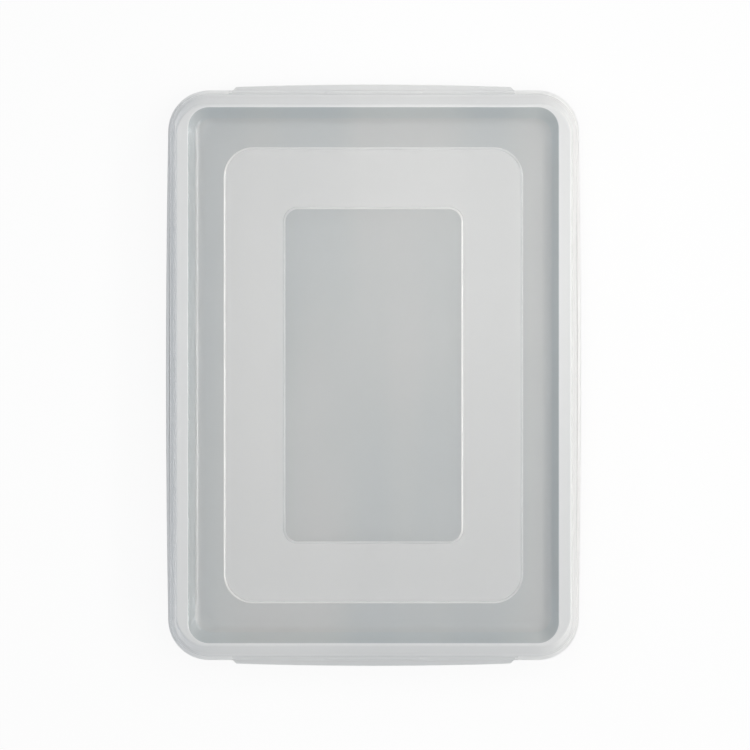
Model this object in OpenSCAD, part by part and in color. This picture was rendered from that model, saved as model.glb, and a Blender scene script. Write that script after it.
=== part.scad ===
// Half sheet pan with a plastic storage lid that clips over its rim.
// X runs across the pan, Y along it, Z up. The origin is under the middle of the pan's flat bottom.
// The pan and its rim wire are swept round the rim's outline. The lid is one moulded shell, lofted
// through rings that share one count of points, so that its sides and its ends may slope differently.

/* [Pan] */
// Length over the rolled rim
pan_length = 454; // [330:1:600]
// Width over the rolled rim
pan_width = 327; // [240:1:460]
// Height from the table to the top of the rim
pan_height = 25.4; // [20:0.1:40]
// Thickness of the aluminium sheet
sheet = 1.0; // [0.8:0.1:1.4]
// Distance from the rim's outer edge in to the flat floor
floor_inset = 19; // [17:0.5:24]
// Corner radius of the rim's outer edge
pan_corner = 30; // [28:0.5:45]
// Bend radius between floor and wall, inside the pan
floor_bend = 4; // [3:0.5:5]

/* [Rolled rim] */
// Diameter of the steel wire inside the roll
wire_d = 5.2; // [4:0.1:6]
// Free space round the wire, inside the roll
wire_gap = 0.15; // [0.1:0.05:0.3]
// Where the roll ends, counted down from its outermost point, in degrees
roll_end = 148; // [90:1:150]

/* [Lid shell] */
// Wall thickness of the moulded lid
lid_wall = 1.3; // [1:0.1:1.8]
// Free space between the rim and the lid's skirt
skirt_gap = 0.6; // [0.5:0.05:1]
// Free space between the top of the rim and the lid's shoulder
seat_gap = 0.3; // [0.2:0.05:0.5]
// How far the skirt reaches below the top of the rim
skirt_drop = 10.5; // [9:0.5:13]
// How far the retaining bead stands in from the skirt
bead = 0.3; // [0.1:0.05:0.4]
// Height of the raised ring above the pan's rim
ring_rise = 12.6; // [8:0.1:20]
// Depth of the sunk top below the raised ring
recess = 9; // [4:0.1:9]
// Width of the shoulder that sits on the rim
shoulder = 2.9; // [2.5:0.1:3.5]

/* [Lid top] */
// Inset of the ring's outer edge along the long sides
ring_out_side = 5.6; // [4.5:0.1:6.5]
// Inset of the ring's outer edge along the short ends
ring_out_end = 10; // [5:0.1:10.6]
// Inset of the ring's inner edge along the long sides
ring_in_side = 15.4; // [12:0.1:17]
// Inset of the ring's inner edge along the short ends
ring_in_end = 12; // [11.8:0.1:17]
// Inset of the sunk top's edge, at the foot of the inner wall
recess_inset = 23.2; // [21:0.1:30]
// Inset of the lowered panel
panel_inset = 44.0; // [34:0.2:60]
// Inset of the middle rectangle
middle_inset = 92.4; // [75:0.2:105]
// How far the panel lies below the edge of the sunk top
panel_drop = 0.8; // [0.5:0.1:1.4]
// How far the middle rectangle stands above the panel
middle_rise = 0.7; // [0.4:0.1:1.5]
// Width of the small slope at the edges of the panel and of the middle
step_run = 1.4; // [0.6:0.1:1.5]

/* [Lid corners] */
// Corner radius of the ring's outer edge
ring_out_corner = 25; // [20:0.5:30]
// Corner radius of the ring's inner edge
ring_in_corner = 17; // [14:0.5:22]
// Corner radius at the foot of the inner wall
recess_corner = 14; // [10:0.5:20]
// Corner radius of the lowered panel
panel_corner = 24; // [10:0.5:30]
// Corner radius of the middle rectangle
middle_corner = 11.5; // [6:0.5:20]

/* [Lid flange and lift tabs] */
// Width of the flange along the long sides
flange_side = 1.8; // [1.4:0.1:5]
// Width of the flange along the short ends
flange_end = 3.2; // [1.5:0.1:5]
// Thickness of the flange
flange_t = 1.5; // [1.2:0.1:2]
// How far the long sides of the flange bow out
side_bow = 1.8; // [0:0.1:3]
// Length of each lift tab
tab_length = 231; // [120:1:260]
// How far a tab stands out from the flange at its ends
tab_out = 3; // [2:0.1:8]
// How much more it stands out at its middle
tab_bow = 2.0; // [0:0.1:4]
// Length of the slanted end of a tab
tab_slant = 4; // [2:0.5:8]
// How far a tab lies below the flange
tab_drop = 0.9; // [0.3:0.1:1.2]
// Length of the raised finger pad in the middle of each end
pad_length = 78; // [40:1:110]
// Height of the finger pad
pad_rise = 0.8; // [0.3:0.1:1.2]

/* [Hidden] */

// Pan and roll
$fn = 96;
roll_in = wire_d / 2 + wire_gap;
roll_out = roll_in + sheet;
roll_z = pan_height - roll_out;
// The wall is the line from the floor's edge that just touches the roll.
wall_run = floor_inset - roll_out;
wall_climb = roll_z - sheet;
wall_lean = atan2(wall_run, wall_climb) - asin(roll_out / norm([wall_run, wall_climb]));
bend_x = -floor_inset - floor_bend / tan((90 + wall_lean) / 2);
bend_z = sheet + floor_bend;
floor_lap = 3;
floor_end = bend_x - floor_lap / 2;
// Angle by which the flat stretches reach into the middle of the bent ones
tongue = 4;

// Lid: insets are counted inward from the outer face of its skirt
skirt_x = pan_width / 2 + skirt_gap + lid_wall;
skirt_y = pan_length / 2 + skirt_gap + lid_wall;
skirt_corner = pan_corner + lid_wall;
skirt_z = pan_height - skirt_drop;
ring_z = pan_height + ring_rise;
recess_z = ring_z - recess;
panel_z = recess_z - panel_drop;
middle_z = panel_z + middle_rise;
// The shoulder is a 45 degree slope that clears the roll by seat_gap.
seat_reach = (roll_out + seat_gap + lid_wall) * cos(45);
seat_u = lid_wall + skirt_gap + roll_out - seat_reach;
seat_z = roll_z + seat_reach;
flat_rim = 3;
edge_round = 0.3;
bead_h = 1.2;
skirt_bow = side_bow * 0.6;
corner_steps = 8;

// The pan's sheet in a cut: x is 0 at the rim's outer edge and negative towards the middle
function on_arc(centre, r, angle) = centre + r * [cos(angle), sin(angle)];
module wedge(from, to, reach) {
    polygon([[0, 0], on_arc([0, 0], reach, from), on_arc([0, 0], reach, (from + to) / 2),
             on_arc([0, 0], reach, to)]);
}
module bent_sheet(r_in) {
    difference() {
        circle(r_in + sheet);
        circle(r_in);
    }
}

module pan_section() {
    bend = [bend_x, bend_z];
    roll = [-roll_out, roll_z];
    lap_x = bend_x - floor_lap;
    bend_mid = floor_bend + sheet / 2;
    roll_mid = roll_in + sheet / 2;
    roll_start = 180 - wall_lean;
    // Floor's edge, with a tongue into the bend
    polygon([[lap_x, 0], [bend_x, 0], on_arc(bend, bend_mid, tongue - 90), [bend_x, sheet],
             [lap_x, sheet]]);
    // Bend from floor to wall
    translate(bend) intersection() {
        bent_sheet(floor_bend);
        wedge(-90, -wall_lean, floor_bend * 3);
    }
    // Leaning wall, with a tongue into the bend and one into the roll
    polygon([on_arc(bend, floor_bend, -wall_lean),
             on_arc(bend, bend_mid, -wall_lean - tongue),
             on_arc(bend, floor_bend + sheet, -wall_lean),
             on_arc(roll, roll_in, roll_start),
             on_arc(roll, roll_mid, roll_start - tongue),
             on_arc(roll, roll_out, roll_start)]);
    // Roll round the wire, from the wall over the top and back underneath
    translate(roll) difference() {
        bent_sheet(roll_in);
        wedge(roll_start, 360 - roll_end, roll_out * 2);
    }
}

// Carries a section round the rim's outline: four straights and four quarter turns
module round_rim() {
    straight_x = pan_width / 2 - pan_corner;
    straight_y = pan_length / 2 - pan_corner;
    for (side = [0, 1]) rotate([0, 0, side * 180]) {
        translate([straight_x, straight_y, 0])
            rotate_extrude(angle = 90) translate([pan_corner, 0]) children();
        rotate([0, 0, 90]) translate([straight_y, straight_x, 0])
            rotate_extrude(angle = 90) translate([pan_corner, 0]) children();
        translate([pan_width / 2, straight_y, 0]) rotate([90, 0, 0])
            linear_extrude(2 * straight_y) children();
        rotate([0, 0, 90]) translate([pan_length / 2, straight_x, 0]) rotate([90, 0, 0])
            linear_extrude(2 * straight_x) children();
    }
}

// Flat sheet with rounded corners
module rounded_sheet(width, length, corner, thick) {
    for (x = [-1, 1], y = [-1, 1])
        translate([x * (width / 2 - corner), y * (length / 2 - corner), 0])
            cylinder(r = corner, h = thick);
    translate([-width / 2 + corner, -length / 2, 0]) cube([width - 2 * corner, length, thick]);
    translate([-width / 2, -length / 2 + corner, 0]) cube([width, length - 2 * corner, thick]);
}

module pan() color("#c9ccce") {
    round_rim() pan_section();
    // The flat floor ends in the middle of the swept strip along its edge.
    rounded_sheet(pan_width + 2 * floor_end, pan_length + 2 * floor_end, pan_corner + floor_end,
                  sheet);
}

module rim_wire() color("#8d9094") {
    round_rim() translate([-roll_out, roll_z]) circle(d = wire_d);
}

// Shifts a chain of straight lines sideways by a distance, inward and down for the lid
function unit(v) = v / norm(v);
function left_of(v) = [v[1], -v[0]];
function shifted(path, by) = [for (i = [0:len(path) - 1])
    let(a = i > 0 ? unit(path[i] - path[i - 1]) : unit(path[1] - path[0]),
        b = i < len(path) - 1 ? unit(path[i + 1] - path[i]) : a,
        n = unit(left_of(a) + left_of(b)))
    path[i] + n * by / (n * left_of(a))];

// Rounds the corners of a chain of lines: each corner becomes its count of steps plus one point
function eased(path, radii, steps) = [
    path[0],
    for (i = [1:len(path) - 2])
        let(back = path[i - 1] - path[i], on = path[i + 1] - path[i],
            d = min(radii[i], 0.45 * norm(back), 0.45 * norm(on)),
            p = path[i] + unit(back) * d, q = path[i] + unit(on) * d)
        for (k = [0:steps[i]])
            let(t = k / steps[i])
            (1 - t) * (1 - t) * p + 2 * t * (1 - t) * path[i] + t * t * q,
    path[len(path) - 1]
];
function spread(values, steps) = [
    values[0],
    for (i = [1:len(values) - 2]) for (k = [0:steps[i]]) values[i],
    values[len(values) - 1]
];

// The lid's wall as seen in a cut, outside face, from the skirt's foot to the middle: [inset, height]
function lid_cut(ring_out, ring_in) = [
    [0, skirt_z],
    [0, seat_z - seat_u],
    [shoulder, seat_z + shoulder - seat_u],
    [ring_out, ring_z],
    [ring_in, ring_z],
    [recess_inset, recess_z],
    [panel_inset, recess_z],
    [panel_inset + step_run, panel_z],
    [middle_inset, panel_z],
    [middle_inset + step_run, middle_z],
    [middle_inset + step_run + flat_rim, middle_z]
];
cut_round = [0, 1.8, 0.8, 1.2, 0.9, 1.8, 0.5, 0.5, 0.5, 0.5, 0];
cut_steps = [0, 2, 1, 2, 2, 2, 1, 1, 1, 1, 0];
under_steps = [0, 3, 1, 1, 1, 1, 1, 1, 1, 1, 0];
cut_corner = [skirt_corner, skirt_corner, skirt_corner - shoulder, ring_out_corner,
              ring_in_corner, recess_corner, panel_corner, panel_corner - step_run,
              middle_corner, middle_corner - step_run, middle_corner - step_run - flat_rim];
cut_bow = [skirt_bow, skirt_bow / 4, 0, 0, 0, 0, 0, 0, 0, 0, 0];

side_cut = lid_cut(ring_out_side, ring_in_side);
end_cut = lid_cut(ring_out_end, ring_in_end);
side_under = shifted(side_cut, lid_wall);
end_under = shifted(end_cut, lid_wall);
under_corner = [for (i = [0:len(cut_corner) - 1])
    cut_corner[i] - (side_under[i][0] - side_cut[i][0] + end_under[i][0] - end_cut[i][0]) / 2];

// A ring: [inset at sides, z at sides, inset at ends, z at ends, corner radius, bow of the sides,
// share of the tab's reach, fall at the tab, rise at the finger pad]
function shell_rings(side, end, corner, steps) =
    let(s = eased(side, cut_round, steps), e = eased(end, cut_round, steps),
        c = spread(corner, steps), b = spread(cut_bow, steps))
    [for (i = [0:len(s) - 1]) [s[i][0], s[i][1], e[i][0], e[i][1], c[i], b[i], 0, 0, 0]];

function flange_ring(out, z, tab, fall, pad) =
    [-flange_side - out, z, -flange_end - out, z, skirt_corner + flange_side + out,
     side_bow, tab, fall, pad];
function skirt_ring(inset, z) =
    [inset, z, inset, z, skirt_corner - inset, skirt_bow, 0, 0, 0];

flange_rings = [
    flange_ring(0, skirt_z, 0, tab_drop / 2, 0),
    flange_ring(edge_round, skirt_z + edge_round, 1, tab_drop, 0),
    flange_ring(edge_round, skirt_z + flange_t - edge_round, 1, tab_drop, 0),
    flange_ring(0, skirt_z + flange_t - edge_round / 2, 0.1, tab_drop, 0),
    flange_ring(-edge_round, skirt_z + flange_t, 0, 0, pad_rise),
    flange_ring(-flange_side + edge_round, skirt_z + flange_t, 0, 0, pad_rise),
    skirt_ring(0, skirt_z + flange_t + pad_rise + edge_round)
];
bead_rings = [
    skirt_ring(lid_wall, skirt_z + bead_h),
    skirt_ring(lid_wall + bead, skirt_z + 2 * bead_h),
    skirt_ring(lid_wall, skirt_z + 3 * bead_h)
];
outer_rings = shell_rings(side_cut, end_cut, cut_corner, cut_steps);
under_rings = shell_rings(side_under, end_under, under_corner, under_steps);
function without_first(list) = [for (i = [1:len(list) - 1]) list[i]];
function reversed(list) = [for (i = [len(list) - 1:-1:0]) list[i]];
// From the middle of the top, out and down to the flange, then up and back in underneath
lid_rings = concat(reversed(without_first(outer_rings)), reversed(flange_rings),
                   [under_rings[0]], bead_rings, without_first(under_rings));

// Places along an end where its outline changes, from one corner to the other
half_tab = tab_length / 2;
half_pad = pad_length / 2;
half_end = [[half_tab, 0, 0], [half_tab - tab_slant, 1, 0], [half_pad + edge_round, 1, 0],
            [half_pad - edge_round, 1, 1]];
end_marks = concat(half_end, [[0, 1, 1]],
                   [for (i = [len(half_end) - 1:-1:0])
                       [-half_end[i][0], half_end[i][1], half_end[i][2]]]);
side_marks = [-0.6, 0, 0.6];

function tab_reach(x) = tab_out + tab_bow * (1 - pow(x / half_tab, 2));
function ring_quarter(g, hx, hy, turn) = [for (k = [0:corner_steps])
    let(a = turn + 90 * k / corner_steps,
        x = cos(a), y = sin(a),
        cx = (turn == 0 || turn == 270 ? 1 : -1) * (hx - g[4]),
        cy = (turn < 180 ? 1 : -1) * (hy - g[4]))
    [cx + g[4] * x, cy + g[4] * y, g[1] * x * x + g[3] * y * y]];
function ring_side(g, hx, hy, way) = [for (m = side_marks)
    [way * (hx + g[5] * (1 - m * m)), way * m * (hy - g[4]), g[1]]];
function ring_end(g, hx, hy, way) = [for (m = end_marks)
    [way * m[0] * (hx - g[4]) / (skirt_x - skirt_corner),
     way * (hy + g[6] * m[1] * tab_reach(m[0])), g[3] - g[7] * m[1] + g[8] * m[2]]];
function ring_points(g) =
    let(hx = skirt_x - g[0], hy = skirt_y - g[2])
    concat(ring_side(g, hx, hy, 1), ring_quarter(g, hx, hy, 0), ring_end(g, hx, hy, 1),
           ring_quarter(g, hx, hy, 90), ring_side(g, hx, hy, -1), ring_quarter(g, hx, hy, 180),
           ring_end(g, hx, hy, -1), ring_quarter(g, hx, hy, 270));

module lid() color("#dfe3e6") {
    rings = [for (g = lid_rings) ring_points(g)];
    n = len(rings[0]);
    count = len(rings);
    // The two flat middles are fans round a point of their own.
    middle = count * n;
    points = concat([for (r = rings) each r], [[0, 0, middle_z], [0, 0, middle_z - lid_wall]]);
    bands = [for (i = [0:count - 2], k = [0:n - 1])
        let(a = i * n + k, b = i * n + (k + 1) % n)
        each [[a, b + n, a + n], [a, b, b + n]]];
    last = (count - 1) * n;
    top = [for (k = [0:n - 1]) [middle, (k + 1) % n, k]];
    under = [for (k = [0:n - 1]) [middle + 1, last + k, last + (k + 1) % n]];
    polyhedron(points, concat(bands, top, under));
}

pan();
rim_wire();
lid();
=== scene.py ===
# Half sheet pan with its storage lid, seen from straight above.
# X runs across the pan, Y along it, Z up, in metres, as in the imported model.
import math

import bpy
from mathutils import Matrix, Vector


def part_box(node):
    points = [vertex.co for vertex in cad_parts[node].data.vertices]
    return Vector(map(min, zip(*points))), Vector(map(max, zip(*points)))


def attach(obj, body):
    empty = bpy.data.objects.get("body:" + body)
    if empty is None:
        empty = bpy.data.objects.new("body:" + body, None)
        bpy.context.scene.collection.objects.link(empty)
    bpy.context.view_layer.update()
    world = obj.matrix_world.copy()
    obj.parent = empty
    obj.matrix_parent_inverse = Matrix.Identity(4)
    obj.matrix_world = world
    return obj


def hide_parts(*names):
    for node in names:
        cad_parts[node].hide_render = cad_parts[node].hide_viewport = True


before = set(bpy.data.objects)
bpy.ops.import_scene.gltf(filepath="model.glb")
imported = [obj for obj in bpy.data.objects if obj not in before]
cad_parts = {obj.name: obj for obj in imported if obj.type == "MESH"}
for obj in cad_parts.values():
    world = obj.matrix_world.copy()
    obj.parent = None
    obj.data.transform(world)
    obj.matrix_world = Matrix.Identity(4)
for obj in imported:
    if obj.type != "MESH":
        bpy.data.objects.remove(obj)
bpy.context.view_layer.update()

# Camera
# A long lens straight above the middle of the lid, as for a catalogue picture.
# At the height of the pan's rim, one pixel of the 750 is 0.815 mm.
MM = 0.001
PICTURE_PX = 750
MM_PER_PX = 0.815
RIM_HEIGHT = 20 * MM
CAMERA_DISTANCE = 2.2
OFF_CENTRE = (1.3 * MM, 0.2 * MM)
FARTHEST_SEEN = 40.0
camera = bpy.data.objects.new("camera", bpy.data.cameras.new("camera"))
bpy.context.scene.collection.objects.link(camera)
camera.location = (*OFF_CENTRE, RIM_HEIGHT + CAMERA_DISTANCE)
picture_width = PICTURE_PX * MM_PER_PX * MM
camera.data.lens = camera.data.sensor_width * CAMERA_DISTANCE / picture_width
camera.data.clip_end = FARTHEST_SEEN
bpy.context.scene.camera = camera
bpy.context.scene.view_settings.view_transform = "Standard"


# Pan
# One sheet of 1 mm aluminium, drawn in a press, with its rim rolled outward over a wire.
# It is bare metal: faint rolling lines run along the sheet, and use has left soft scuffs.
PAN_METAL = (0.90, 0.885, 0.86, 1)
PAN_METAL_DULL = (0.64, 0.635, 0.63, 1)
ROLLING_SCALE = (1600, 22, 1600)


def add(tree, kind, **settings):
    """A node of this kind, with its settings and the plain values of its named inputs."""
    node = tree.nodes.new(kind)
    for name, value in settings.items():
        if name in node.inputs:
            node.inputs[name].default_value = value
        else:
            setattr(node, name, value)
    return node


def new_material(name):
    """An empty node material: its tree, its Principled shader and the link call."""
    material = bpy.data.materials.new(name)
    material.use_nodes = True
    tree = material.node_tree
    shader = tree.nodes["Principled BSDF"]
    return material, tree, shader, tree.links.new


def smooth_edge(tree, low, high):
    """A node that brings low..high to 0..1 with a smooth rise."""
    edge = add(tree, "ShaderNodeMapRange", interpolation_type="SMOOTHSTEP")
    edge.inputs["From Min"].default_value = low
    edge.inputs["From Max"].default_value = high
    return edge


# How the wear's hair lines are stretched and turned, and where lines and bands begin and end
LINE_STRETCH = (0.04, 1, 1)
LINE_TURN = 9.0
LINE_EDGE = (0.70, 0.86)
BAND_SCALE = (17, 1.3, 1)
BAND_EDGE = (0.35, 0.65)


def surface_wear_group():
    """Soft clouds, fine hair lines and wide soft bands, shared by the metals and the plastic."""
    group = bpy.data.node_groups.new("surface_wear", "ShaderNodeTree")
    group.interface.new_socket("Vector", in_out="INPUT", socket_type="NodeSocketVector")
    for name in ("Cloud Scale", "Line Scale"):
        group.interface.new_socket(name, in_out="INPUT", socket_type="NodeSocketFloat")
    for name in ("Cloud", "Lines", "Bands"):
        group.interface.new_socket(name, in_out="OUTPUT", socket_type="NodeSocketFloat")
    link = group.links.new
    way_in = group.nodes.new("NodeGroupInput")
    way_out = group.nodes.new("NodeGroupOutput")
    cloud = add(group, "ShaderNodeTexNoise", Detail=3.0, Roughness=0.55)
    link(way_in.outputs["Vector"], cloud.inputs["Vector"])
    link(way_in.outputs["Cloud Scale"], cloud.inputs["Scale"])
    link(cloud.outputs["Fac"], way_out.inputs["Cloud"])
    # Short hair lines: a noise stretched along a direction that itself wanders
    wander = add(group, "ShaderNodeTexNoise", Scale=2.0, Detail=0.0)
    turn = add(group, "ShaderNodeVectorRotate", rotation_type="Z_AXIS")
    stretch = add(group, "ShaderNodeMapping", Scale=LINE_STRETCH)
    angle = add(group, "ShaderNodeMath", operation="MULTIPLY")
    angle.inputs[1].default_value = LINE_TURN
    lines = add(group, "ShaderNodeTexNoise", Detail=1.0, Roughness=0.4)
    sharp = smooth_edge(group, *LINE_EDGE)
    link(way_in.outputs["Vector"], wander.inputs["Vector"])
    link(wander.outputs["Fac"], angle.inputs[0])
    link(way_in.outputs["Vector"], turn.inputs["Vector"])
    link(angle.outputs[0], turn.inputs["Angle"])
    link(turn.outputs[0], stretch.inputs["Vector"])
    link(stretch.outputs[0], lines.inputs["Vector"])
    link(way_in.outputs["Line Scale"], lines.inputs["Scale"])
    link(lines.outputs["Fac"], sharp.inputs["Value"])
    link(sharp.outputs["Result"], way_out.inputs["Lines"])
    # Wide soft bands along the length, from the rolls and the mould's flow
    band_place = add(group, "ShaderNodeMapping", Scale=BAND_SCALE)
    band = add(group, "ShaderNodeTexNoise", Scale=1.0, Detail=1.0, Roughness=0.4)
    band_edge = smooth_edge(group, *BAND_EDGE)
    link(way_in.outputs["Vector"], band_place.inputs["Vector"])
    link(band_place.outputs[0], band.inputs["Vector"])
    link(band.outputs["Fac"], band_edge.inputs["Value"])
    link(band_edge.outputs["Result"], way_out.inputs["Bands"])
    return group


surface_wear = surface_wear_group()


def wear_on(tree, link, cloud_scale, line_scale):
    """The shared wear, laid on in the object's own coordinates."""
    place = tree.nodes.new("ShaderNodeTexCoord")
    wear = tree.nodes.new("ShaderNodeGroup")
    wear.node_tree = surface_wear
    wear.inputs["Cloud Scale"].default_value = cloud_scale
    wear.inputs["Line Scale"].default_value = line_scale
    link(place.outputs["Object"], wear.inputs["Vector"])
    return place, wear


def blend_colours(tree, link, factor, first, second):
    """A colour that goes from first to second with the factor."""
    mix = add(tree, "ShaderNodeMix", data_type="RGBA")
    colour_in = [socket for socket in mix.inputs if socket.type == "RGBA"]
    colour_in[0].default_value = first
    colour_in[1].default_value = second
    link(factor, mix.inputs[0])
    return [socket for socket in mix.outputs if socket.type == "RGBA"][0]


def ranged(tree, link, value, low, high):
    """A value from 0..1 brought to low..high."""
    scale = add(tree, "ShaderNodeMapRange")
    scale.inputs["To Min"].default_value = low
    scale.inputs["To Max"].default_value = high
    link(value, scale.inputs["Value"])
    return scale.outputs["Result"]


def patches(tree, link, wear):
    """Clouds and bands of the shared wear, half and half."""
    mix = add(tree, "ShaderNodeMath", operation="MULTIPLY_ADD")
    mix.inputs[1].default_value = 0.5
    link(wear.outputs["Bands"], mix.inputs[0])
    link(ranged(tree, link, wear.outputs["Cloud"], 0.0, 0.5), mix.inputs[2])
    return mix.outputs[0]


def drawn_aluminium():
    material, tree, shader, link = new_material("drawn_aluminium")
    place, wear = wear_on(tree, link, cloud_scale=14.0, line_scale=700.0)
    # Rolling lines of the sheet, along its length
    sheet = add(tree, "ShaderNodeMapping", Scale=ROLLING_SCALE)
    rolled = add(tree, "ShaderNodeTexNoise", Scale=1.0, Detail=2.0)
    link(place.outputs["Object"], sheet.inputs["Vector"])
    link(sheet.outputs[0], rolled.inputs["Vector"])
    link(blend_colours(tree, link, patches(tree, link, wear), PAN_METAL, PAN_METAL_DULL),
         shader.inputs["Base Color"])
    shader.inputs["Metallic"].default_value = 1.0
    rough = add(tree, "ShaderNodeMath", operation="ADD")
    link(ranged(tree, link, wear.outputs["Cloud"], 0.24, 0.38), rough.inputs[0])
    link(ranged(tree, link, rolled.outputs["Fac"], -0.05, 0.05), rough.inputs[1])
    link(rough.outputs[0], shader.inputs["Roughness"])
    relief = add(tree, "ShaderNodeMath", operation="ADD")
    link(ranged(tree, link, rolled.outputs["Fac"], 0.0, 0.4), relief.inputs[0])
    link(ranged(tree, link, wear.outputs["Lines"], 0.0, -0.15), relief.inputs[1])
    bump = add(tree, "ShaderNodeBump", Strength=0.25, Distance=0.03 * MM)
    link(relief.outputs[0], bump.inputs["Height"])
    link(bump.outputs[0], shader.inputs["Normal"])
    return material


def dress(node, material):
    """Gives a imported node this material, on the object and not on its mesh."""
    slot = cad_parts[node].material_slots[0]
    slot.link = "OBJECT"
    slot.material = material


dress("pan", drawn_aluminium())
pan_half_x, pan_half_y, pan_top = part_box("pan")[1]


# Rim wire
# A closed loop of galvanised steel wire inside the rolled rim, which keeps the rim straight.
# It shows only through the slit under the roll.
WIRE_ZINC = (0.52, 0.54, 0.56, 1)
WIRE_ZINC_DARK = (0.36, 0.37, 0.39, 1)


def galvanised_wire():
    material, tree, shader, link = new_material("galvanised_wire")
    place, wear = wear_on(tree, link, cloud_scale=90.0, line_scale=900.0)
    link(blend_colours(tree, link, wear.outputs["Cloud"], WIRE_ZINC, WIRE_ZINC_DARK),
         shader.inputs["Base Color"])
    shader.inputs["Metallic"].default_value = 1.0
    link(ranged(tree, link, wear.outputs["Cloud"], 0.4, 0.6), shader.inputs["Roughness"])
    bump = add(tree, "ShaderNodeBump", Strength=0.3, Distance=0.02 * MM)
    link(wear.outputs["Lines"], bump.inputs["Height"])
    link(bump.outputs[0], shader.inputs["Normal"])
    return material


dress("rim_wire", galvanised_wire())


# Lid
# One injection moulded shell of milky polypropylene, 1.3 mm thick, which clips over the rim.
# A raised ring stiffens it. The top inside the ring is sunk, with a lowered, finely grained
# panel and a smooth rectangle in its middle. Both ends carry a lift tab with a finger pad.
WALL = 1.3 * MM
SKIRT_GAP = 0.6 * MM
SEAT_GAP = 0.3 * MM
ROLL_RADIUS = 3.75 * MM
PAN_CORNER = 30 * MM
SKIRT_DROP = 10.5 * MM
SHOULDER = 2.9 * MM
RING_RISE = 12.6 * MM
RECESS = 9 * MM
PANEL_DROP = 0.8 * MM
MIDDLE_RISE = 0.7 * MM
STEP_RUN = 1.4 * MM
MIDDLE_EDGE = 3 * MM
# How far in from the skirt's outer face: the ring at the sides and at the ends, then the top
RING_OUT_SIDE, RING_IN_SIDE = 5.6 * MM, 15.4 * MM
RING_OUT_END, RING_IN_END = 10 * MM, 12 * MM
RECESS_INSET, PANEL_INSET, MIDDLE_INSET = 23.2 * MM, 44.0 * MM, 92.4 * MM
RING_OUT_CORNER, RING_IN_CORNER = 25 * MM, 17 * MM
RECESS_CORNER, PANEL_CORNER, MIDDLE_CORNER = 14 * MM, 24 * MM, 11.5 * MM
FLANGE_SIDE, FLANGE_END, FLANGE_THICK = 1.8 * MM, 3.2 * MM, 1.5 * MM
SIDE_BOW = 1.8 * MM
EDGE_ROUND = 0.3 * MM
TAB_LENGTH, TAB_OUT, TAB_BOW = 231 * MM, 3 * MM, 2 * MM
TAB_SLANT, TAB_DROP = 4 * MM, 0.9 * MM
PAD_LENGTH, PAD_RISE = 78 * MM, 0.8 * MM
BEAD, BEAD_HEIGHT = 0.3 * MM, 1.2 * MM

skirt_x = pan_half_x + SKIRT_GAP + WALL
skirt_y = pan_half_y + SKIRT_GAP + WALL
skirt_corner = PAN_CORNER + WALL
skirt_foot = pan_top - SKIRT_DROP
ring_top = pan_top + RING_RISE
recess_top = ring_top - RECESS
panel_top = recess_top - PANEL_DROP
middle_top = panel_top + MIDDLE_RISE
seat_reach = (ROLL_RADIUS + SEAT_GAP + WALL) * math.cos(math.radians(45))
seat_inset = WALL + SKIRT_GAP + ROLL_RADIUS - seat_reach
seat_height = pan_top - ROLL_RADIUS + seat_reach


def lid_cut(ring_out, ring_in):
    """The outside of the lid's wall in a cut, from the skirt's foot to the middle."""
    return [Vector(p) for p in (
        (0, skirt_foot),
        (0, seat_height - seat_inset),
        (SHOULDER, seat_height + SHOULDER - seat_inset),
        (ring_out, ring_top),
        (ring_in, ring_top),
        (RECESS_INSET, recess_top),
        (PANEL_INSET, recess_top),
        (PANEL_INSET + STEP_RUN, panel_top),
        (MIDDLE_INSET, panel_top),
        (MIDDLE_INSET + STEP_RUN, middle_top),
        (MIDDLE_INSET + STEP_RUN + MIDDLE_EDGE, middle_top))]


# One bend radius, corner radius and outward bow for each point of the cut
BENDS = [v * MM for v in (0, 1.8, 0.8, 1.2, 0.9, 5.2, 0.3, 0.3, 0.3, 0.3, 0)]
CORNERS = [skirt_corner, skirt_corner, skirt_corner - SHOULDER, RING_OUT_CORNER,
           RING_IN_CORNER, RECESS_CORNER, PANEL_CORNER, PANEL_CORNER - STEP_RUN,
           MIDDLE_CORNER, MIDDLE_CORNER - STEP_RUN, MIDDLE_CORNER - STEP_RUN - MIDDLE_EDGE]
skirt_bow = SIDE_BOW * 0.6
BOWS = [skirt_bow, skirt_bow / 4] + [0] * 9
# How finely bends, corners, sides and flats are divided, and how far a bend may reach
BEND_STEPS = 6
CORNER_STEPS = 20
SIDE_STEPS = 14
FLAT_STEP = 7 * MM
BEND_SHARE = 0.45
HOLD, HOLD_SHARE = 0.12 * MM, 0.3
LEAST_CORNER = 2 * MM


def moved_in(path, by):
    """The same chain of lines, one wall thickness further in."""
    result = []
    for i, point in enumerate(path):
        before = (point - path[i - 1] if i else path[1] - point).normalized()
        after = (path[i + 1] - point).normalized() if i < len(path) - 1 else before
        out_before = Vector((before.y, -before.x))
        middle = (out_before + Vector((after.y, -after.x))).normalized()
        result.append(point + middle * by / middle.dot(out_before))
    return result


def eased(path, corners):
    """The cut with rounded bends: place, corner radius, bow, and if a straight leads here."""
    rings = [(path[0], corners[0], BOWS[0], False)]
    for i in range(1, len(path) - 1):
        back, on = path[i - 1] - path[i], path[i + 1] - path[i]
        reach = min(BENDS[i], BEND_SHARE * back.length, BEND_SHARE * on.length)
        start = path[i] + back.normalized() * reach
        end = path[i] + on.normalized() * reach
        for k in range(BEND_STEPS + 1):
            t = k / BEND_STEPS
            point = (1 - t) ** 2 * start + 2 * t * (1 - t) * path[i] + t * t * end
            rings.append((point, corners[i], BOWS[i], k == 0))
    rings.append((path[-1], corners[-1], BOWS[-1], True))
    return rings


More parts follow.
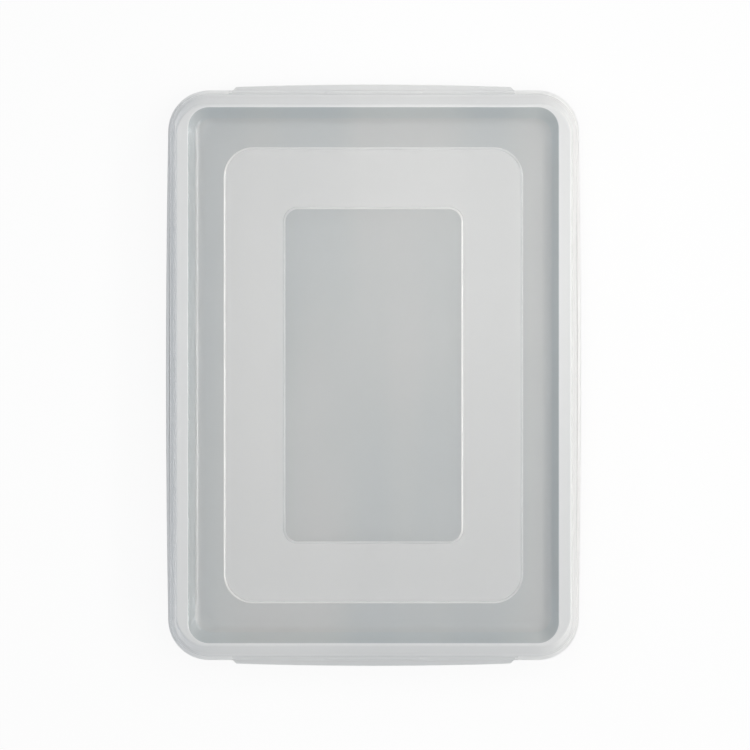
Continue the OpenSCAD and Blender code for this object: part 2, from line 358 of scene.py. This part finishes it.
def shell_rings(side_path, end_path, corners):
    """Rings for one face of the shell, with extra rings across the wide flats."""
    sides, ends = eased(side_path, corners), eased(end_path, corners)
    rings = []
    for (side, corner, bow, straight), (end, _, _, _) in zip(sides, ends):
        ring = {"side": side, "end": end, "corner": corner, "bow": bow}
        if rings:
            last = rings[-1]
            length = (side - last["side"]).length
            parts = max(1, round(length / FLAT_STEP))
            stops = [k / parts for k in range(1, parts)]
            if straight:
                # Holding rings close to both bends keep the stretch between them flat
                hold = min(HOLD / length, HOLD_SHARE)
                stops = [hold] + stops + [1 - hold]
            for t in stops:
                rings.append({"side": last["side"].lerp(side, t),
                              "end": last["end"].lerp(end, t),
                              "corner": last["corner"] * (1 - t) + corner * t,
                              "bow": last["bow"] * (1 - t) + bow * t})
        rings.append(ring)
    # On to the middle: the last rings shrink to a sliver round the centre line
    last = rings[-1]
    left = skirt_x - last["side"].x
    parts = round(left / FLAT_STEP)
    for k in range(1, parts):
        inward = left * k / parts
        step = Vector((inward, 0))
        rings.append({"side": last["side"] + step, "end": last["end"] + step,
                      "corner": max(last["corner"] - inward, LEAST_CORNER), "bow": 0})
    return rings


def flange_ring(out, height, tab=0.0, fall=0.0, pad=0.0):
    """A ring of the flange, this far outside its own edge."""
    return {"side": Vector((-FLANGE_SIDE - out, height)),
            "end": Vector((-FLANGE_END - out, height)),
            "corner": skirt_corner + FLANGE_SIDE + out, "bow": SIDE_BOW,
            "tab": tab, "fall": fall, "pad": pad}


def skirt_ring(inset, height):
    """A ring on the skirt, this far in from its outer face."""
    point = Vector((inset, height))
    return {"side": point, "end": point, "corner": skirt_corner - inset, "bow": skirt_bow}


def flange_rings():
    """The flange's edge from below to above, with the lowered tab and the finger pad."""
    rings = [flange_ring(0, skirt_foot, fall=TAB_DROP / 2)]
    # The rounded edge: the lower half of its turn, then the upper half above the flat between
    for k in range(7):
        angle = math.radians(-90 + 30 * k)
        centre = skirt_foot + (EDGE_ROUND if k < 4 else FLANGE_THICK - EDGE_ROUND)
        rings.append(flange_ring(EDGE_ROUND * math.cos(angle),
                                 centre + EDGE_ROUND * math.sin(angle), tab=1, fall=TAB_DROP))
    # A shallow groove inside the edge, the raised pad, and the fillet up to the skirt
    top = skirt_foot + FLANGE_THICK
    rings += [flange_ring(0.2 * MM, top - 0.1 * MM, tab=0.25, fall=TAB_DROP),
              flange_ring(0, top - 0.15 * MM, tab=0.05, fall=TAB_DROP * 0.85),
              flange_ring(-0.15 * MM, top - 0.05 * MM, fall=TAB_DROP * 0.3, pad=PAD_RISE * 0.7),
              flange_ring(-EDGE_ROUND - 0.1 * MM, top, pad=PAD_RISE),
              flange_ring(-FLANGE_SIDE + 0.5 * MM, top, pad=PAD_RISE),
              flange_ring(-FLANGE_SIDE + 0.25 * MM, top + 0.08 * MM, pad=PAD_RISE),
              skirt_ring(-0.05 * MM, top + PAD_RISE + 0.25 * MM),
              skirt_ring(0, top + PAD_RISE + 0.6 * MM)]
    return rings


def bead_rings():
    """The retaining bead inside the skirt, a low round ridge under the pan's roll."""
    rings = []
    for k in range(1, 8):
        rise = math.sin(math.pi * k / 8) ** 2
        rings.append(skirt_ring(WALL + BEAD * rise, skirt_foot + BEAD_HEIGHT * (1 + k / 4)))
    return rings


def eased_step(value, low, high):
    """0 below low, 1 above high, and a smooth rise between."""
    t = min(max((value - low) / (high - low), 0), 1)
    return t * t * (3 - 2 * t)


half_tab = TAB_LENGTH / 2
half_pad = PAD_LENGTH / 2
# Places along half an end, from its corner to its middle, closer together where it changes
PAD_SLOPE = 1.2 * MM
tab_flat = half_tab - half_pad - 8 * MM
END_MARKS = ([half_tab + TAB_SLANT * k / 6 for k in (4, 0)]
             + [half_tab - TAB_SLANT * k / 6 for k in range(1, 8)]
             + [half_tab - TAB_SLANT - tab_flat * k / 6 for k in range(1, 6)]
             + [half_pad + 1.5 * MM - PAD_SLOPE / 2 * k for k in range(7)]
             + [half_pad * k / 4 for k in (3, 2, 1)])
end_marks = END_MARKS + [0] + [-x for x in reversed(END_MARKS)]
side_marks = [-1 + 2 * k / SIDE_STEPS for k in range(1, SIDE_STEPS)]
straight_x = skirt_x - skirt_corner


def tab_reach(x):
    """How far the tab stands out at this place along the end."""
    if abs(x) >= half_tab:
        return 0
    bow = TAB_OUT + TAB_BOW * (1 - (x / half_tab) ** 2)
    return bow * eased_step(half_tab - abs(x), 0, TAB_SLANT)


def ring_line(ring):
    """The points of a ring, once round, starting on the right-hand side."""
    side, end, corner = ring["side"], ring["end"], ring["corner"]
    half_x, half_y = skirt_x - side.x, skirt_y - end.x
    points = []
    for quarter, (to_x, to_y) in enumerate(((1, 1), (-1, 1), (-1, -1), (1, -1))):
        if quarter % 2 == 0:
            for mark in side_marks:
                bow = ring["bow"] * (1 - mark * mark)
                points.append((to_x * (half_x + bow), to_x * mark * (half_y - corner), side.y))
        else:
            for x in end_marks:
                along = x * (half_x - corner) / straight_x
                out = ring.get("tab", 0) * tab_reach(x)
                near_tab = eased_step(half_tab - abs(x), 0, TAB_SLANT)
                near_pad = eased_step(half_pad - abs(x), -PAD_SLOPE, PAD_SLOPE)
                height = end.y - ring.get("fall", 0) * near_tab + ring.get("pad", 0) * near_pad
                points.append((to_y * along, to_y * (half_y + out), height))
        for k in range(CORNER_STEPS + 1):
            angle = math.radians(90 * (quarter + k / CORNER_STEPS))
            c, s = math.cos(angle), math.sin(angle)
            points.append((to_x * (half_x - corner) + corner * c,
                           to_y * (half_y - corner) + corner * s,
                           side.y * c * c + end.y * s * s))
    return points


# The lid's finishes, by the number of their material slot
SMOOTH, GRAINED, THICK, UNDERSIDE, STEP, PAINTED_LIGHT_FLANGE, PAINTED_SHADE_SUNK_WALL = range(7)
RING_EDGE, STEP_EDGE, WALL_FOOT = 0.2 * MM, 0.3 * MM, 1 * MM
GRAIN_STARTS = PANEL_INSET + STEP_RUN * 0.9
GRAIN_ENDS = MIDDLE_INSET + STEP_RUN * 0.1


def finish_between(a, b, outside, underside):
    """The finish of the strip of the shell between two insets."""
    on_step = any(a >= step - STEP_EDGE and b <= step + STEP_RUN + STEP_EDGE
                  for step in (PANEL_INSET, MIDDLE_INSET))
    if outside and on_step:
        return STEP
    if underside:
        return UNDERSIDE
    # The walls of the sunk top get their own bluer, slightly darker colours: painted cool shade
    if outside and a >= RING_IN_SIDE and b <= RECESS_INSET - WALL_FOOT:
        return PAINTED_SHADE_SUNK_WALL
    if b <= RING_IN_SIDE + RING_EDGE:
        return THICK
    if outside and a >= GRAIN_STARTS and b <= GRAIN_ENDS:
        return GRAINED
    return SMOOTH


def lid_mesh():
    """The closed shell: down the outside, round the flange, and back up underneath."""
    side_cut = lid_cut(RING_OUT_SIDE, RING_IN_SIDE)
    end_cut = lid_cut(RING_OUT_END, RING_IN_END)
    side_in, end_in = moved_in(side_cut, WALL), moved_in(end_cut, WALL)
    corners_in = [c - (s.x - a.x + e.x - b.x) / 2
                  for c, s, a, e, b in zip(CORNERS, side_in, side_cut, end_in, end_cut)]
    outside = shell_rings(side_cut, end_cut, CORNERS)
    inside = shell_rings(side_in, end_in, corners_in)
    edge = flange_rings()
    rings = outside[:0:-1] + edge[::-1] + inside[:1] + bead_rings() + inside[1:]
    vertices, faces, finishes = [], [], []
    for ring in rings:
        vertices += ring_line(ring)
    count = len(vertices) // len(rings)
    flange_starts = len(outside) - 2
    underside_starts = flange_starts + len(edge)
    for i in range(len(rings) - 1):
        a, b = sorted((rings[i]["side"].x, rings[i + 1]["side"].x))
        finish = finish_between(a, b, i < flange_starts, i >= underside_starts)
        for k in range(count):
            here, beside = i * count + k, i * count + (k + 1) % count
            faces.append((here, here + count, beside + count, beside))
            # Outside the tabs the flange gets a paler finish: painted light, as if lit through
            # from the floor below
            painted_light_flange = b <= 0 and abs(vertices[here][0]) > half_tab
            finishes.append(PAINTED_LIGHT_FLANGE if painted_light_flange else finish)
    # The two slivers left in the middle, above and below
    last = (len(rings) - 1) * count
    faces += [tuple(range(count)), tuple(range(last + count - 1, last - 1, -1))]
    finishes += [SMOOTH, UNDERSIDE]
    mesh = bpy.data.meshes.new("lid_shell")
    mesh.from_pydata(vertices, [], faces)
    for face, finish in zip(mesh.polygons, finishes):
        face.material_index = finish
        face.use_smooth = True
    return mesh


# The milky colour of each finish, and the colour of its clearer patches
LID_MILK = (0.935, 0.952, 0.965, 1)
LID_MILK_CLEAR = (0.85, 0.885, 0.915, 1)
PANEL_MILK = (0.91, 0.91, 0.905, 1)
PANEL_MILK_CLEAR = (0.87, 0.875, 0.875, 1)
RIM_MILK = (0.845, 0.845, 0.845, 1)
RIM_MILK_CLEAR = (0.805, 0.81, 0.815, 1)
# The sunk walls' colour is bluer and a little darker than the lid's own milk: painted cool shade
# on the inner walls, not a colour of the plastic
PAINTED_SHADE_WALL_MILK = (0.895, 0.94, 0.975, 1)
PAINTED_SHADE_WALL_MILK_CLEAR = (0.81, 0.87, 0.92, 1)
# The flange's paler colour along the sides and corners is painted light, standing in for light
# shining up through it from the floor
PAINTED_LIGHT_FLANGE_MILK = (0.96, 0.96, 0.955, 1)
PAINTED_LIGHT_FLANGE_MILK_CLEAR = (0.91, 0.915, 0.915, 1)
PLASTIC_IOR = 1.49
GRAIN_SCALE = 1400.0
CLOUDING = 0.03


def milky_plastic(name, pale, clear, see_through, scatter, roughness, grain_depth):
    """Milky polypropylene, smooth or finely grained from a blasted mould."""
    material, tree, shader, link = new_material(name)
    place, wear = wear_on(tree, link, cloud_scale=9.0, line_scale=420.0)
    link(blend_colours(tree, link, patches(tree, link, wear), pale, clear),
         shader.inputs["Base Color"])
    shader.inputs["Transmission Weight"].default_value = see_through
    shader.inputs["IOR"].default_value = PLASTIC_IOR
    shader.inputs["Subsurface Weight"].default_value = 1.0
    shader.inputs["Subsurface Radius"].default_value = (1.0, 1.0, 1.0)
    shader.inputs["Subsurface Scale"].default_value = scatter
    rough = add(tree, "ShaderNodeMath", operation="ADD")
    link(ranged(tree, link, wear.outputs["Cloud"], roughness - CLOUDING, roughness + CLOUDING),
         rough.inputs[0])
    link(ranged(tree, link, wear.outputs["Lines"], 0.0, 0.06), rough.inputs[1])
    link(rough.outputs[0], shader.inputs["Roughness"])
    grain = add(tree, "ShaderNodeTexNoise", Scale=GRAIN_SCALE, Detail=2.0)
    link(place.outputs["Object"], grain.inputs["Vector"])
    bump = add(tree, "ShaderNodeBump", Strength=0.35, Distance=grain_depth)
    link(grain.outputs["Fac"], bump.inputs["Height"])
    link(bump.outputs[0], shader.inputs["Normal"])
    return material


lid_shell = bpy.data.objects.new("lid_shell", lid_mesh())
bpy.context.scene.collection.objects.link(lid_shell)
# Name, milky and clear colour, share seen through, depth of scatter, roughness, depth of grain
for finish in (
        ("milky_plastic", LID_MILK, LID_MILK_CLEAR, 0.5, 1.5 * MM, 0.11, 0.006 * MM),
        ("grained_milky_plastic", PANEL_MILK, PANEL_MILK_CLEAR, 0.25, 2 * MM, 0.5, 0.04 * MM),
        ("thick_milky_plastic", RIM_MILK, RIM_MILK_CLEAR, 0.08, 0.7 * MM, 0.12, 0.006 * MM),
        ("underside_milky_plastic", LID_MILK, LID_MILK_CLEAR, 1.0, 1 * MM, 0.16, 0.01 * MM),
        ("polished_step_plastic", PANEL_MILK, PANEL_MILK_CLEAR, 0.25, 2 * MM, 0.10, 0.004 * MM),
        # Flange at the sides: its paler colour is painted light
        ("painted_light_flange_plastic", PAINTED_LIGHT_FLANGE_MILK, PAINTED_LIGHT_FLANGE_MILK_CLEAR, 0.0, 1 * MM, 0.12, 0.006 * MM),
        # Sunk walls: the blue tint of their colours is painted shade
        ("painted_shade_sunk_wall_plastic", PAINTED_SHADE_WALL_MILK, PAINTED_SHADE_WALL_MILK_CLEAR, 0.5, 1.5 * MM, 0.11, 0.006 * MM)):
    lid_shell.data.materials.append(milky_plastic(*finish))
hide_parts("lid")
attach(lid_shell, "lid")


# Studio
# A pale floor, soft lights round the pan that are strongest on the right, and a pale sky that
# is cooler and dimmer on the left. Seen by the camera, in gloss or through the lid, the floor
# is nearly plain white, and still takes the pan's shadow.
FLOOR_SIZE = 30.0
FLOOR_PALE = (0.94, 0.94, 0.94, 1)
FLOOR_WHITE_SHARE = 0.9
SKY_BRIGHT = (0.58, 0.575, 0.565, 1)
SKY_DIM = (0.38, 0.42, 0.46, 1)
SKY_BRIGHT_SIDE = (1.0, 0.25, 0.5)
SKY_EDGE = (-0.7, 0.8)
WARM, COOL = (1.0, 0.985, 0.95), (0.97, 0.99, 1.0)


def pale_floor():
    material, tree, shader, link = new_material("pale_floor")
    rays = tree.nodes.new("ShaderNodeLightPath")
    seen = add(tree, "ShaderNodeMath", operation="MAXIMUM")
    seen_all = add(tree, "ShaderNodeMath", operation="MAXIMUM")
    white = tree.nodes.new("ShaderNodeEmission")
    mostly = add(tree, "ShaderNodeMath", operation="MULTIPLY")
    mostly.inputs[1].default_value = FLOOR_WHITE_SHARE
    join = tree.nodes.new("ShaderNodeMixShader")
    out = tree.nodes["Material Output"]
    shader.inputs["Base Color"].default_value = FLOOR_PALE
    shader.inputs["Roughness"].default_value = 0.8
    link(rays.outputs["Is Camera Ray"], seen.inputs[0])
    link(rays.outputs["Is Glossy Ray"], seen.inputs[1])
    link(seen.outputs[0], seen_all.inputs[0])
    link(rays.outputs["Is Transmission Ray"], seen_all.inputs[1])
    link(seen_all.outputs[0], mostly.inputs[0])
    link(mostly.outputs[0], join.inputs["Fac"])
    link(shader.outputs[0], join.inputs[1])
    link(white.outputs[0], join.inputs[2])
    link(join.outputs[0], out.inputs["Surface"])
    return material


bpy.ops.mesh.primitive_plane_add(size=FLOOR_SIZE, location=(0, 0, 0))
floor = bpy.context.object
floor.name = "floor"
floor.data.materials.append(pale_floor())


def soft_light(name, place, size, watts, colour):
    """A rectangular soft light that looks at the pan."""
    lamp = bpy.data.lights.new(name, "AREA")
    lamp.shape = "RECTANGLE"
    lamp.size, lamp.size_y = size
    lamp.energy = watts
    lamp.color = colour
    light = bpy.data.objects.new(name, lamp)
    light.location = place
    light.rotation_euler = (-Vector(place)).to_track_quat("-Z", "Y").to_euler()
    light.visible_camera = False
    bpy.context.scene.collection.objects.link(light)
    return light


# Overhead fill, nearest to the upper half of the lid, which shows in no reflection
overhead = soft_light("overhead_light", (0.07, 0.15, 0.36), (0.2, 0.2), 0.3, WARM)
overhead.visible_glossy = False
overhead.visible_transmission = False
# Lights at the height that draws bright lines along the rounded edges, strongest on the right
soft_light("right_light", (1.6, 0.0, 1.14), (1.0, 0.36), 7.2, (1.0, 0.99, 0.97))
soft_light("right_back_light", (1.31, 0.92, 1.14), (0.5, 0.36), 4.2, WARM)
soft_light("right_front_light", (1.31, -0.92, 1.14), (0.5, 0.36), 4.2, WARM)
soft_light("back_light", (0.1, 1.5, 0.93), (1.1, 0.3), 0.7, (0.98, 1.0, 1.0))
soft_light("left_light", (-1.5, 0.0, 1.02), (1.5, 0.27), 4.0, COOL)
soft_light("front_light", (0.0, -1.5, 0.93), (0.7, 0.2), 0.15, COOL)

world = bpy.data.worlds.new("studio_sky")
bpy.context.scene.world = world
world.use_nodes = True
sky = world.node_tree
towards = sky.nodes.new("ShaderNodeTexCoord")
to_key = add(sky, "ShaderNodeVectorMath", operation="DOT_PRODUCT")
to_key.inputs[1].default_value = Vector(SKY_BRIGHT_SIDE).normalized()
sky.links.new(towards.outputs["Generated"], to_key.inputs[0])
side = smooth_edge(sky, *SKY_EDGE)
sky.links.new(to_key.outputs["Value"], side.inputs["Value"])
sky_colour = blend_colours(sky, sky.links.new, side.outputs["Result"], SKY_DIM, SKY_BRIGHT)
sky.links.new(sky_colour, sky.nodes["Background"].inputs["Color"])
# Above the floor's far edge the camera sees white
white_sky = add(sky, "ShaderNodeBackground", Color=(1, 1, 1, 1), Strength=1.0)
sky_rays = sky.nodes.new("ShaderNodeLightPath")
sky_join = sky.nodes.new("ShaderNodeMixShader")
sky.links.new(sky_rays.outputs["Is Camera Ray"], sky_join.inputs["Fac"])
sky.links.new(sky.nodes["Background"].outputs[0], sky_join.inputs[1])
sky.links.new(white_sky.outputs[0], sky_join.inputs[2])
sky.links.new(sky_join.outputs[0], sky.nodes["World Output"].inputs["Surface"])
